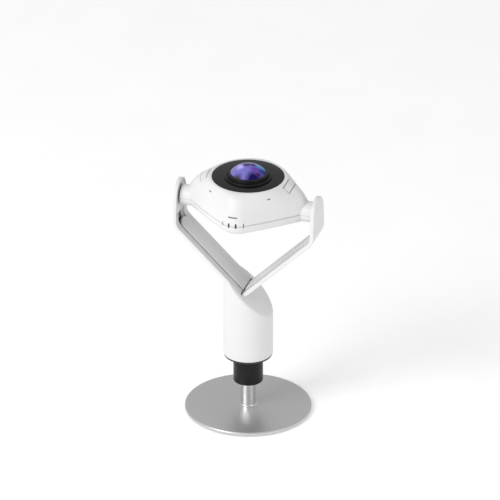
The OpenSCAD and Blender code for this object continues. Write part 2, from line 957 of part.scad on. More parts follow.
// A key's face is the dome's own surface. A rim under the wall's edges keeps the key from
// falling out, and a pin reaches down to the switch.
module key(span) {
    at_pivot() {
        intersection() {
            dome_solid();
            at_keys() key_block(span, key_rim_z, 6, key_window_half_w - key_gap);
        }
        at_keys() {
            key_block(span + [0.8, -0.8], key_rim_z, key_rim_z + key_rim_t,
                key_window_half_w + key_rim_w);
            translate([0, (span[0] + span[1]) / 2, key_pin_end])
                cylinder(r = 1, h = key_rim_z - key_pin_end + eps);
        }
    }
}

module left_front_key() {
    color(white) mirror([1, 0, 0]) key(front_key_y);
}

module left_back_key() {
    color(white) mirror([1, 0, 0]) key(back_key_y);
}

module right_front_key() {
    color(white) key(front_key_y);
}

module right_back_key() {
    color(white) key(back_key_y);
}

module key_switches() {
    color(black) at_pivot() both_sides() at_keys()
        for (span = [front_key_y, back_key_y])
            translate([0, (span[0] + span[1]) / 2, key_board_z + 1]) {
                translate([-2, -2, 0]) cube([4, 4, 1.4]);
                cylinder(r = 0.9, h = switch_top - key_board_z - 1);
            }
}

module key_boards() {
    color(board_green) at_pivot() both_sides() at_keys()
        key_block(key_window_y, key_board_z, key_board_z + 1, 3);
}

module shell_screws() {
    color(steel) at_pivot() shell_screw_places() translate([0, 0, -belly_h + 2.2])
        mirror([0, 0, 1]) pan_screw(1.2, 12, 2.2, 1);
}

base_disc();
base_pad();
base_screw();
stem();
stand_stud();
collar();
swivel_washer();
thread_insert();
end_plate();
end_plate_screws();
column_shell();
usb_board();
usb_port();
left_arm_shell();
right_arm_shell();
left_arm_cover();
right_arm_cover();
left_tip_plate();
right_tip_plate();
arm_root_screws();
pivot_bushes();
friction_washers();
arm_cable();
head_top_shell();
head_bottom_shell();
seam_band();
left_axle();
right_axle();
axle_lead();
lens_deck();
lens_ring();
lens_barrel();
front_glass();
inner_lenses();
barrel_nut();
lens_holder();
image_sensor();
sensor_board();
main_board();
heat_spreader();
board_screws();
microphones();
mic_grille();
status_light();
key_boards();
key_switches();
shell_screws();
left_front_key();
left_back_key();
right_front_key();
right_back_key();
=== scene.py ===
import json
import math

import bmesh
import bpy
from mathutils import Matrix, Vector


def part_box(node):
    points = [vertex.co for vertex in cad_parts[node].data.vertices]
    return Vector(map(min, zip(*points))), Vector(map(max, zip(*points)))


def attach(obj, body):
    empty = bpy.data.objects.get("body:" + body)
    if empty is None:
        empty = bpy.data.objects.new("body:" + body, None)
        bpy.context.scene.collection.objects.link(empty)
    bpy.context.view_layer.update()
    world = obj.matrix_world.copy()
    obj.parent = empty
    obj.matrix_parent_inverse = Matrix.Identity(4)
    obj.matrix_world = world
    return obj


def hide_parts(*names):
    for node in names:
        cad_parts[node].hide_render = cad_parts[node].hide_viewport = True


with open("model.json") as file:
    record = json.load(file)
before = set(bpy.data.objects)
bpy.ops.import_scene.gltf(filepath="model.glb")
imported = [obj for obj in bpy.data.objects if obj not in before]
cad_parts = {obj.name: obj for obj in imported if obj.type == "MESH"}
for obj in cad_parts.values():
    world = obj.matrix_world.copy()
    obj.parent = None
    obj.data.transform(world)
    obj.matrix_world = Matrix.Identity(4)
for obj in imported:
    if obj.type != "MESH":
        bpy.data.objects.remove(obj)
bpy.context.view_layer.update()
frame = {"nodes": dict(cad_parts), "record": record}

# Looks for the table-top conference camera. Lengths in this script are millimetres in the row
# frame unless a name says otherwise, and meshes are turned into metres as they are made.
MM = 0.001
NODES = frame["nodes"]


def node_box(name):
    """Lowest and highest corner of a CAD node, in millimetres."""
    low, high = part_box(name)
    return low / MM, high / MM


# ------------------------------------------------------------------ camera

VIEW_AZIMUTH = math.radians(17.0)
VIEW_ELEVATION = math.radians(27.7)
FOCAL_LENGTH = 1000
SENSOR_WIDTH = 36
VIEW_WIDTH_M = 0.4
# The point the camera aims at: its height, and how far it lies right of the column's axis
VIEW_HEIGHT_M = 0.1429
VIEW_RIGHT_M = 0.00144
# What the camera sees, as shares of its distance
CLIP_NEAR, CLIP_FAR = 0.2, 4


def make_camera():
    """A long lens far away, so that the view has almost no perspective."""
    data = bpy.data.cameras.new("camera")
    data.lens = FOCAL_LENGTH
    data.sensor_width = SENSOR_WIDTH
    distance = VIEW_WIDTH_M * FOCAL_LENGTH / SENSOR_WIDTH
    data.clip_start = distance * CLIP_NEAR
    data.clip_end = distance * CLIP_FAR
    camera = bpy.data.objects.new("camera", data)
    bpy.context.scene.collection.objects.link(camera)
    a, e = VIEW_AZIMUTH, VIEW_ELEVATION
    back = Vector((math.sin(a) * math.cos(e), -math.cos(a) * math.cos(e), math.sin(e)))
    right = Vector((math.cos(a), math.sin(a), 0))
    target = Vector((0, 0, VIEW_HEIGHT_M)) + VIEW_RIGHT_M * right
    camera.location = target + distance * back
    camera.rotation_mode = "QUATERNION"
    camera.rotation_quaternion = (-back).to_track_quat("-Z", "Y")
    bpy.context.scene.camera = camera


make_camera()


# ------------------------------------------------------------------ mesh helpers

def finish_mesh(name, mesh, body, material, replaces=(), sharp_deg=30, second=None):
    """Links a mesh as a smooth-shaded piece that rides on a CAD body and stands for CAD nodes.
    Faces with material index 1 take the second material."""
    obj = bpy.data.objects.new(name, mesh)
    bpy.context.scene.collection.objects.link(obj)
    shade(obj, sharp_deg)
    mesh.materials.append(material)
    if second is not None:
        mesh.materials.append(second)
    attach(obj, body)
    if replaces:
        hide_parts(*replaces)
    return obj


def shade(obj, sharp_deg):
    mesh = obj.data
    mesh.polygons.foreach_set("use_smooth", [True] * len(mesh.polygons))
    mesh.set_sharp_from_angle(angle=math.radians(sharp_deg))


def mesh_from(name, points, faces, zones=None):
    """A mesh in metres from points in millimetres, its faces turned outwards. Zones, where given,
    are the faces' material indices."""
    mesh = bpy.data.meshes.new(name)
    mesh.from_pydata([Vector(p) * MM for p in points], [], faces)
    if zones is not None:
        mesh.polygons.foreach_set("material_index", zones)
    bm = bmesh.new()
    bm.from_mesh(mesh)
    bmesh.ops.remove_doubles(bm, verts=bm.verts, dist=1e-7)
    bmesh.ops.recalc_face_normals(bm, faces=bm.faces)
    bm.to_mesh(mesh)
    bm.free()
    mesh.validate()
    return mesh


def full_turn(steps):
    """Evenly spaced angles once round a circle."""
    return [2 * math.pi * i / steps for i in range(steps)]


def quarter_turn(steps):
    """Angles from 0 to 90 degrees, both included."""
    return [math.pi / 2 * k / steps for k in range(steps + 1)]


def circle(r, z, steps, x=0, y=0):
    return [(x + r * math.cos(t), y + r * math.sin(t), z) for t in full_turn(steps)]


def quads_between(ring_count, ring_size, wrap):
    """Quads between neighbouring rings of equal length, and from the last to the first ring when
    they wrap round."""
    faces = []
    for j in range(ring_count if wrap else ring_count - 1):
        low = j * ring_size
        high = (j + 1) % ring_count * ring_size
        for i in range(ring_size):
            k = (i + 1) % ring_size
            faces.append((low + i, low + k, high + k, high + i))
    return faces


def loft(name, rings, wrap=False):
    """A skin over rings of equal length, which either wraps round or ends in two flat caps."""
    size = len(rings[0])
    faces = quads_between(len(rings), size, wrap)
    if not wrap:
        faces.append(tuple(range(size)))
        last = (len(rings) - 1) * size
        faces.append(tuple(range(last, last + size)))
    return mesh_from(name, [p for ring in rings for p in ring], faces)


def lathe(name, profile, steps=160):
    """A closed profile of (radius, height) turned about Z. Points on the axis are merged."""
    return loft(name, [circle(r, z, steps) for r, z in profile], wrap=True)


def rounded(corners, radius, steps=4):
    """A closed profile with each (x, y, share) corner rounded by share times the radius."""
    out = []
    count = len(corners)
    for i, (x, y, share) in enumerate(corners):
        here = Vector((x, y))
        if share == 0:
            out.append((x, y))
            continue
        before = (Vector(corners[i - 1][:2]) - here).normalized()
        after = (Vector(corners[(i + 1) % count][:2]) - here).normalized()
        angle = before.angle(after)
        reach = radius * share / math.tan(angle / 2)
        start = here + before * reach
        end = here + after * reach
        centre = here + (before + after).normalized() * radius * share / math.sin(angle / 2)
        for k in range(steps + 1):
            t = k / steps
            mix = start.lerp(end, t) - centre
            out.append(tuple(centre + mix.normalized() * radius * share))
    return out


def temporary(mesh):
    """An object that booleans work on, before its mesh goes into a finished piece."""
    obj = bpy.data.objects.new(mesh.name, mesh)
    bpy.context.scene.collection.objects.link(obj)
    return obj


def combine(obj, other, operation):
    """Applies an exact boolean to obj and removes the other object."""
    modifier = obj.modifiers.new("boolean", "BOOLEAN")
    modifier.operation = operation
    modifier.solver = "EXACT"
    modifier.object = other
    graph = bpy.context.evaluated_depsgraph_get()
    result = bpy.data.meshes.new_from_object(obj.evaluated_get(graph))
    obj.modifiers.clear()
    obj.data = result
    bpy.data.objects.remove(other)
    return obj


def block(name, low, high, matrix=None):
    """A box between two corners, optionally moved by a matrix in millimetres."""
    x, y, z = zip(low, high)
    points = [Vector((x[i], y[j], z[k])) for i in (0, 1) for j in (0, 1) for k in (0, 1)]
    if matrix is not None:
        points = [matrix @ p for p in points]
    faces = [(0, 1, 3, 2), (4, 6, 7, 5), (0, 4, 5, 1), (2, 3, 7, 6), (0, 2, 6, 4), (1, 5, 7, 3)]
    return temporary(mesh_from(name, points, faces))


def cylinder_x(name, r, x0, x1, z, steps=96):
    """A round bar along X at height z."""
    rings = [[(x, r * math.cos(t), z + r * math.sin(t)) for t in full_turn(steps)] for x in (x0, x1)]
    return temporary(loft(name, rings))


def take_piece(obj, name, body, material, replaces, sharp_deg=32):
    """Turns a temporary object's mesh into a finished piece."""
    mesh = obj.data
    bpy.data.objects.remove(obj)
    mesh.name = name
    return finish_mesh(name, mesh, body, material, replaces, sharp_deg)


# ------------------------------------------------------------------ material helpers

class Paint:
    """A node tree around one Principled shader, with short names for the usual textures."""

    def __init__(self, name, color, roughness, metallic=0.0, **sockets):
        self.material = bpy.data.materials.new(name)
        self.material.use_nodes = True
        self.nodes = self.material.node_tree.nodes
        self.links = self.material.node_tree.links
        self.shader = self.nodes["Principled BSDF"]
        self.set("Base Color", (*color, 1))
        self.set("Roughness", roughness)
        self.set("Metallic", metallic)
        for socket, value in sockets.items():
            self.set(socket.replace("_", " "), value)
        self.place = self.nodes.new("ShaderNodeTexCoord").outputs["Object"]

    def set(self, socket, value):
        self.shader.inputs[socket].default_value = value

    def link(self, source, socket):
        self.links.new(source, self.shader.inputs[socket])

    def stretched(self, scale):
        mapping = self.nodes.new("ShaderNodeMapping")
        mapping.inputs["Scale"].default_value = scale
        self.links.new(self.place, mapping.inputs["Vector"])
        return mapping.outputs["Vector"]

    def noise(self, size_mm, detail=4.0, where=None):
        """Noise whose blotches are about size_mm across."""
        texture = self.nodes.new("ShaderNodeTexNoise")
        texture.inputs["Scale"].default_value = 1 / (size_mm * MM)
        texture.inputs["Detail"].default_value = detail
        self.links.new(where or self.place, texture.inputs["Vector"])
        return texture.outputs["Fac"]

    def span(self, source, low, high, from_low=0.3, from_high=0.7):
        """Turns a texture into values between low and high."""
        node = self.nodes.new("ShaderNodeMapRange")
        for key, value in (("From Min", from_low), ("From Max", from_high),
                           ("To Min", low), ("To Max", high)):
            node.inputs[key].default_value = value
        self.links.new(source, node.inputs["Value"])
        return node.outputs["Result"]

    def mix(self, factor, first, second):
        """Mixes two colours, either of which may be a socket."""
        node = self.nodes.new("ShaderNodeMix")
        node.data_type = "RGBA"
        self.links.new(factor, node.inputs["Factor"])
        for key, value in (("A", first), ("B", second)):
            socket = [s for s in node.inputs if s.name == key and s.type == "RGBA"][0]
            if isinstance(value, tuple):
                socket.default_value = (*value, 1)
            else:
                self.links.new(value, socket)
        return [s for s in node.outputs if s.type == "RGBA"][0]

    def bump(self, height, depth_mm, strength):
        node = self.nodes.new("ShaderNodeBump")
        node.inputs["Strength"].default_value = strength
        node.inputs["Distance"].default_value = depth_mm * MM
        self.links.new(height, node.inputs["Height"])
        return node.outputs["Normal"]


def shade_of(color, share):
    return tuple(c * share for c in color)


def moulded_plastic(name, color, roughness=0.42, grain_mm=0.28, grain_depth=0.006, **sockets):
    """Moulded plastic: spark-eroded grain, faint cloudiness and slightly uneven gloss."""
    paint = Paint(name, color, roughness, **sockets)
    cloud = paint.noise(18, 3)
    paint.link(paint.mix(paint.span(cloud, 0, 1), shade_of(color, 0.975), color), "Base Color")
    paint.link(paint.span(paint.noise(6, 5), roughness - 0.04, roughness + 0.05), "Roughness")
    paint.link(paint.bump(paint.noise(grain_mm, 2), grain_depth, 0.6), "Normal")
    return paint.material


def satin_metal_paint():
    """The base disc: satin grey with a very fine sparkle and a few faint rub marks."""
    color = (0.60, 0.60, 0.605)
    paint = Paint("satin_grey_metal", color, 0.36, 0.75)
    speck = paint.span(paint.noise(0.12, 2), 0, 1, 0.35, 0.65)
    cloud = paint.span(paint.noise(30, 4), 0, 1)
    fine = paint.mix(speck, shade_of(color, 0.94), shade_of(color, 1.05))
    paint.link(paint.mix(cloud, fine, color), "Base Color")
    rub = paint.noise(3, 6, paint.stretched((1, 12, 1)))
    paint.link(paint.span(rub, 0.33, 0.41), "Roughness")
    paint.link(paint.bump(paint.noise(0.15, 2), 0.004, 0.5), "Normal")
    return paint.material


def turned_steel(name, color, roughness, anisotropy):
    """Steel finished on a lathe: fine rings round Z that stretch the highlights upright."""
    paint = Paint(name, color, roughness, 1.0, Anisotropic=anisotropy)
    tangent = paint.nodes.new("ShaderNodeTangent")
    tangent.direction_type = "RADIAL"
    tangent.axis = "Z"
    paint.link(tangent.outputs["Tangent"], "Tangent")
    rings = paint.noise(0.4, 3, paint.stretched((0.02, 0.02, 3)))
    paint.link(paint.span(rings, roughness * 0.85, roughness * 1.2), "Roughness")
    paint.link(paint.mix(paint.span(paint.noise(8), 0, 1), shade_of(color, 0.96), color), "Base Color")
    paint.link(paint.bump(rings, 0.0015, 0.5), "Normal")
    return paint.material


def plain_metal(name, color, roughness):
    """Small inner metal parts: faintly blotched and lightly scratched."""
    paint = Paint(name, color, roughness, 1.0)
    paint.link(paint.mix(paint.span(paint.noise(2), 0, 1), shade_of(color, 0.9), color), "Base Color")
    paint.link(paint.span(paint.noise(1, 5, paint.stretched((1, 8, 1))), roughness * 0.8, roughness * 1.3),
               "Roughness")
    paint.link(paint.bump(paint.noise(0.3), 0.003, 0.4), "Normal")
    return paint.material


TRACK_SCALE = 260


def board_material():
    """Solder mask over copper: dark green with a lighter grid of tracks."""
    paint = Paint("board_green", (0.02, 0.13, 0.07), 0.35)
    tracks = paint.nodes.new("ShaderNodeTexBrick")
    tracks.inputs["Scale"].default_value = TRACK_SCALE
    paint.links.new(paint.place, tracks.inputs["Vector"])
    paint.link(paint.mix(tracks.outputs["Fac"], (0.015, 0.11, 0.055), (0.04, 0.2, 0.1)), "Base Color")
    paint.link(paint.bump(tracks.outputs["Fac"], 0.02, 0.5), "Normal")
    return paint.material


def film_material():
    """A black flexible cable with faint conductor lines along it."""
    paint = Paint("black_film", (0.02, 0.02, 0.022), 0.4)
    lines = paint.noise(0.5, 1, paint.stretched((0.05, 4, 0.05)))
    paint.link(paint.mix(paint.span(lines, 0, 1), (0.018, 0.018, 0.02), (0.035, 0.035, 0.037)),
               "Base Color")
    paint.link(paint.bump(lines, 0.02, 0.5), "Normal")
    return paint.material


WHITE = (0.77, 0.77, 0.767)
PALE = (0.68, 0.68, 0.683)
white_plastic = moulded_plastic("white_plastic", WHITE)
pale_plastic = moulded_plastic("pale_plastic", PALE, 0.45)
black_plastic = moulded_plastic("black_plastic", (0.022, 0.022, 0.023), 0.5)
collar_black = moulded_plastic("black_collar", (0.009, 0.009, 0.0095), 0.3, 0.5, 0.003,
                               Specular_IOR_Level=0.2)
rubber = moulded_plastic("black_rubber", (0.025, 0.025, 0.025), 0.75, 0.4, 0.02)
base_metal = satin_metal_paint()
stem_steel = turned_steel("polished_steel", (0.78, 0.78, 0.79), 0.24, 0.85)
screw_steel = plain_metal("screw_steel", (0.6, 0.6, 0.61), 0.3)
brass = plain_metal("brass", (0.72, 0.53, 0.25), 0.3)
aluminium = plain_metal("aluminium", (0.8, 0.8, 0.81), 0.4)
deck_black = moulded_plastic("deck_black", (0.0060, 0.0076, 0.0070), 0.11, 0.2, 0.001,
                             Specular_IOR_Level=0.22)
lens_black = moulded_plastic("lens_black", (0.009, 0.009, 0.010), 0.36, 0.2, 0.003,
                             Specular_IOR_Level=0.25)
board_green = board_material()
black_film = film_material()
light_plastic = moulded_plastic("clear_light", (0.16, 0.16, 0.165), 0.3)
sensor_glass = moulded_plastic("sensor_glass", (0.03, 0.08, 0.06), 0.1)


# The painted reflections of the lens's coating, as their centres on the lens in shares of its radius,
# before the pattern is turned about the lens axis, then their reach, softness and colour. Later ones
# cover earlier ones.
LENS_RADIUS_M = 0.0141
REFLECTION_TURN = math.radians(17)
SWAY = 0.2
SWAY_SCALE = 2.2
# How strongly the lens glows: a painted glow, though the lens is no lamp
PAINTED_LENS_GLOW = 0.25
COATING = (0.165, 0.145, 0.46)
LENS_PAINTED_REFLECTIONS = (
    ((-0.95, 0.05), 0.25, 0.20, (0.20, 0.18, 0.33)),
    ((-0.42, 0.02), 0.20, 0.16, (0.48, 0.40, 0.84)),
    ((0.86, -0.20), 0.36, 0.18, (0.018, 0.036, 0.20)),
    ((0.62, 0.12), 0.25, 0.13, (0.060, 0.24, 0.42)),
    ((0.38, -0.30), 0.24, 0.14, (0.125, 0.050, 0.33)),
    ((0.32, -0.97), 0.42, 0.16, (0.010, 0.004, 0.075)),
    ((0.60, -0.64), 0.13, 0.10, (0.045, 0.008, 0.080)),
    ((-0.66, -0.80), 0.24, 0.14, (0.055, 0.050, 0.09)),
    ((-0.08, 0.14), 0.24, 0.10, (0.050, 0.042, 0.095)),
    ((0.28, 0.14), 0.15, 0.07, (0.010, 0.011, 0.11)),
)


def coated_glass_material():
    """The lens's colours are painted reflections of its coatings, fixed to places on it: lavender on the
    left, magenta right of the middle, blue at the right edge, indigo at the front, and a dark patch and
    a cyan one at the back. The same colour also glows faintly, a painted glow."""
    paint = Paint("coated_glass", COATING, 0.09, 0.0, Specular_IOR_Level=0.06)
    place = paint.stretched((1 / LENS_RADIUS_M, 1 / LENS_RADIUS_M, 0))
    wave = paint.nodes.new("ShaderNodeTexNoise")
    wave.inputs["Scale"].default_value = SWAY_SCALE
    paint.links.new(place, wave.inputs["Vector"])
    sway = paint.nodes.new("ShaderNodeVectorMath")
    sway.operation = "MULTIPLY_ADD"
    paint.links.new(wave.outputs["Color"], sway.inputs[0])
    sway.inputs[1].default_value = (SWAY, SWAY, 0)
    paint.links.new(place, sway.inputs[2])

    color = COATING
    turn = Matrix.Rotation(REFLECTION_TURN, 2)
    # Each patch is a painted reflection laid over the colour so far
    for centre, reach, soft, tint in LENS_PAINTED_REFLECTIONS:
        x, y = turn @ Vector(centre)
        distance = paint.nodes.new("ShaderNodeVectorMath")
        distance.operation = "DISTANCE"
        paint.links.new(sway.outputs["Vector"], distance.inputs[0])
        distance.inputs[1].default_value = (x + SWAY / 2, y + SWAY / 2, 0)
        reflection_patch = paint.span(distance.outputs["Value"], 1, 0, reach - soft, reach + soft)
        color = paint.mix(reflection_patch, color, tint)
    paint.link(color, "Base Color")
    # The painted colour is also emitted: a painted glow
    paint.link(color, "Emission Color")
    paint.set("Emission Strength", PAINTED_LENS_GLOW)
    return paint.material


# Coated glass whose colours are painted reflections and a painted glow
coated_glass = coated_glass_material()


# ------------------------------------------------------------------ sizes taken from the frame

disc_low, disc_high = node_box("base_disc")
stem_top = node_box("stem")[1].z
collar_low, collar_high = node_box("collar")
plate_low, plate_high = node_box("end_plate")
column_low, column_high = node_box("column_shell")
top_high = node_box("head_top_shell")[1]
belly_low, belly_high = node_box("head_bottom_shell")
deck_low, deck_high = node_box("lens_deck")
ring_low, ring_high = node_box("lens_ring")
barrel_low, barrel_high = node_box("lens_barrel")
glass_low, glass_high = node_box("front_glass")
axle_low, axle_high = node_box("right_axle")
PIVOT_Z = (axle_low.z + axle_high.z) / 2
NECK_X = top_high.x
DECK_R = deck_high.x
DOME_H = top_high.z - PIVOT_Z
BELLY_H = PIVOT_Z - belly_low.z
FRONT_REACH = belly_high.y
arm_high = node_box("right_arm_shell")[1]
ARM_X = arm_high.x
ARM_W = arm_high.y * 2
COLUMN_R = column_high.x

# Cutters reach this far, well past what they cut
FAR = 100

# The CAD's own shape constants, which no box shows
ARM_ANGLE = math.radians(44.5)
SLOPE = math.tan(ARM_ANGLE)
ARM_T = 3.2
CUT_Z = 108.3
SIDE_REACH = 51.5
FRONT_CORNER_R = 14.0
NECK_R = 8.4
SIDE_CORNER_R = 7.4
DOME_POWER = 1.7
BELLY_POWER = 2.3
BELLY_SCALE = 0.66
SHELL_WALL = 1.8
BAND_H = 1.0
FLANK_BULGE = 0.8
STEM_R = 6.0
STEM_FLARE = 1.2


# ------------------------------------------------------------------ stand

BASE_HOLE_R = 3.2
BASE_BEVEL = 0.7
PAD_RECESS_R = 46.3
PAD_RECESS_DEPTH = 0.4
STUD_HOLE_R = 3.1
STUD_HOLE_DEPTH = 8
STEM_HOLE_R = 2.5


def build_stand():
    r, bevel = disc_high.x, BASE_BEVEL
    pad_z = disc_low.z + PAD_RECESS_DEPTH
    profile = rounded([
        (BASE_HOLE_R, disc_high.z, 0), (r - bevel, disc_high.z, 1), (r, disc_high.z - bevel, 1),
        (r, disc_low.z + bevel, 1), (r - bevel, disc_low.z, 0), (PAD_RECESS_R, disc_low.z, 0),
        (PAD_RECESS_R, pad_z, 0), (BASE_HOLE_R, pad_z, 0),
    ], 0.35, 3)
    finish_mesh("base_disc_look", lathe("base_disc_look", profile, 256), "stand", base_metal,
                ["base_disc"])

    r = collar_high.x
    profile = rounded([
        (STEM_R, collar_low.z, 0), (r, collar_low.z, 1), (r, collar_high.z, 1),
        (STUD_HOLE_R, collar_high.z, 0), (STUD_HOLE_R, stem_top, 0), (STEM_R, stem_top, 0),
    ], 0.6, 5)
    finish_mesh("collar_look", lathe("collar_look", profile), "stand", collar_black,
                ["collar"])

    # The stem flares where it meets the disc, and its top holds the stud
    low = disc_high.z
    flare = [(STEM_R + STEM_FLARE * (1 - math.sin(t)), low + STEM_FLARE * (1 - math.cos(t)))
             for t in quarter_turn(12)]
    hole_z = stem_top - STUD_HOLE_DEPTH
    profile = [(STEM_HOLE_R, low)] + flare
    profile += [(STEM_R, stem_top), (STUD_HOLE_R, stem_top), (STUD_HOLE_R, hole_z), (STEM_HOLE_R, hole_z)]
    finish_mesh("stem_look", lathe("stem_look", profile), "stand", stem_steel,
                ["stem"])


# ------------------------------------------------------------------ column

COLUMN_STEPS = 192
COLUMN_WALL = 2.0
RIM_IN, RIM_DOWN, RIM_STEPS = 1.8, 2.4, 10
# The column's foot has a fine rounded edge: how far each ring is inside the wall, and how far up
FOOT_EDGE = ((0, 0.25), (0.12, 0.05), (0.3, 0))
SOCKET_W, SOCKET_H = 9.4, 3.7
SOCKET_IN, SOCKET_OUT = 4, 2
PLATE_HOLE_R = 3.5
ROOT_PLAY = 0.05
ROOT_CUT = (70, 6)
SLOT_STEPS = 12

# Where each arm's outer face starts on the slanted cut, as (x, z) on the right-hand side
LEFT_FOOT_X = 3.2
RIGHT_FOOT_X = 1.2
LEFT_FOOT = (LEFT_FOOT_X, CUT_Z - ARM_T / math.cos(ARM_ANGLE) + LEFT_FOOT_X * SLOPE)
RIGHT_FOOT = (RIGHT_FOOT_X, CUT_Z - RIGHT_FOOT_X * SLOPE)


def slanted_ring(r, down):
    """A ring of points at one radius, a given height below the slanted cut."""
    turns = full_turn(COLUMN_STEPS)
    return [(r * math.cos(t), r * math.sin(t), CUT_Z - r * math.cos(t) * SLOPE - down) for t in turns]


def build_column():
    """A tube with a slanted top, a softly rounded rim and a socket opening in the back."""
    rings = []
    for k in range(RIM_STEPS + 1):
        t = math.pi / 2 * (1 - k / RIM_STEPS)
        rings.append(slanted_ring(COLUMN_R - RIM_IN * (1 - math.cos(t)), RIM_DOWN * (1 - math.sin(t))))
    for inset, up in FOOT_EDGE:
        rings.append(circle(COLUMN_R - inset, column_low.z + up, COLUMN_STEPS))
    column = temporary(loft("column_look", rings))

    bore_r = COLUMN_R - COLUMN_WALL
    floor_down = (ARM_T + COLUMN_WALL) / math.cos(ARM_ANGLE)
    bore = [circle(bore_r, column_low.z - 1, COLUMN_STEPS), slanted_ring(bore_r, floor_down)]
    combine(column, temporary(loft("column_bore", bore)), "DIFFERENCE")

    # The left arm's root lies in a recess in the slanted face
    recess = Matrix.Translation((-LEFT_FOOT[0], 0, LEFT_FOOT[1])) @ Matrix.Rotation(ARM_ANGLE, 4, "Y")
    half = ARM_W / 2 + ROOT_PLAY
    length, height = ROOT_CUT
    combine(column, block("root_recess", (-length, -half, 0), (0, half, height), recess), "DIFFERENCE")

    socket_low, socket_high = node_box("usb_port")
    socket_z = (socket_low.z + socket_high.z) / 2
    hole = stadium("socket_hole", SOCKET_W, SOCKET_H, COLUMN_R - SOCKET_IN, COLUMN_R + SOCKET_OUT,
                   socket_z)
    combine(column, hole, "DIFFERENCE")
    take_piece(column, "column_look", "column", white_plastic, ["column_shell"], 30)

    r = plate_high.x
    profile = rounded([
        (PLATE_HOLE_R, plate_low.z, 0), (r, plate_low.z, 1), (r, column_low.z, 1),
        (PLATE_HOLE_R, column_low.z, 0),
    ], 0.3, 3)
    finish_mesh("end_plate_look", lathe("end_plate_look", profile), "column", black_plastic,
                ["end_plate"])


def stadium(name, width, height, y0, y1, z):
    """A slot shape in XZ, extruded along Y."""
    r = height / 2
    outline = []
    for side, start in ((1, -90), (-1, 90)):
        for k in range(SLOT_STEPS + 1):
            t = math.radians(start + 180 * k / SLOT_STEPS)
            outline.append((side * (width / 2 - r) + r * math.cos(t), z + r * math.sin(t)))
    rings = [[(x, y, height_z) for x, height_z in outline] for y in (y0, y1)]
    return temporary(loft(name, rings))


# ------------------------------------------------------------------ arms

ELBOW_R = 13.0
TIP_R = 13.5
LIP_W = 7.2
TIP_LIP_W = 1.8
SKIN = 1.0
TAPER_Z = 14.0
PLATE_RISE = 4.0
PLATE_GAP = 0.25
ARM_EDGE = 0.7
LIP_EDGE = 0.35
ROOT_START = 1.2
COVER_START = 1.6
COVER_T = 1.3
COVER_RISE = 0.9
COVER_GROOVE = 0.9
COVER_EDGE = 0.5
RECESS_STEP = 0.02
STRAIGHT_STEPS, BEND_STEPS, TAPER_STEPS, TIP_STEPS = 24, 20, 6, 20
COVER_STEPS, COVER_END_STEPS = 20, 14


class ArmPath:
    """Turns (along, across, depth) on an unrolled arm into a point in the row frame."""

    def __init__(self, foot, side):
        self.foot = foot
        self.side = side
        a = ARM_ANGLE
        bend_x = ARM_X - ELBOW_R + ELBOW_R * math.sin(a)
        self.slant = (bend_x - foot[0]) / math.cos(a)
        self.centre = (ARM_X - ELBOW_R,
                       foot[1] + (bend_x - foot[0]) * math.tan(a) + ELBOW_R * math.cos(a))
        self.bend = ELBOW_R * (math.pi / 2 - a)
        self.recess = self.slant + self.bend + PLATE_RISE - PLATE_GAP

    def along(self, z):
        """The distance along the arm of a height on its upright part."""
        return self.slant + self.bend + z - self.centre[1]

    def height(self, s):
        """The height of a place on the arm's upright part."""
        return self.centre[1] + s - self.slant - self.bend

    def point(self, s, y, depth):
        a = ARM_ANGLE
        if s <= self.slant:
            x = self.foot[0] + s * math.cos(a) - depth * math.sin(a)
            z = self.foot[1] + s * math.sin(a) + depth * math.cos(a)
        elif s <= self.slant + self.bend:
            t = a - math.pi / 2 + (s - self.slant) / ELBOW_R
            x = self.centre[0] + (ELBOW_R - depth) * math.cos(t)
            z = self.centre[1] + (ELBOW_R - depth) * math.sin(t)
        else:
            x = ARM_X - depth
            z = self.height(s)
        return (self.side * x, y, z)


def half_width(z, half, r):
    """Half the arm's width at a height on the tip: it tapers and then follows the round tip."""
    taper = math.asin((half - r) / TAPER_Z)
    turn_z = PIVOT_Z + r * math.sin(taper)
    if z < PIVOT_Z - TAPER_Z:
        return half
    if z < turn_z:
        share = (z - PIVOT_Z + TAPER_Z) / (turn_z - PIVOT_Z + TAPER_Z)
        return half + (r * math.cos(taper) - half) * share
    return math.sqrt(max(0, r * r - (z - PIVOT_Z) ** 2))


def arm_stations(path):
    """Distances along the arm where the outline gets a point, closer together on the bends."""
    straight = [ROOT_START + (path.slant - ROOT_START) * k / STRAIGHT_STEPS
                for k in range(STRAIGHT_STEPS)]
    bend = [path.slant + path.bend * k / BEND_STEPS for k in range(BEND_STEPS)]
    taper_low = path.along(PIVOT_Z - TAPER_Z)
    taper_top = path.along(PIVOT_Z)
    upright = [path.slant + path.bend, path.recess - RECESS_STEP, path.recess + RECESS_STEP]
    upright += [taper_low + (taper_top - taper_low) * k / TAPER_STEPS for k in range(TAPER_STEPS)]
    upright.sort()
    tip = [taper_top + TIP_R * math.sin(t) for t in quarter_turn(TIP_STEPS)]
    return straight + bend + upright + tip


def closed_outline(stations, half_at, path, depth):
    """A closed loop: up the left edge, round the tip and down the right edge."""
    left = [path.point(s, -half_at(s), depth) for s in stations]
    right = [path.point(s, half_at(s), depth) for s in reversed(stations)]
    return left + right


def strip_faces(first, size):
    """Quads across a closed outline, from its left edge to its right edge."""
    last = first + size - 1
    return [(first + i, first + i + 1, last - 1 - i, last - i) for i in range(size // 2 - 1)]


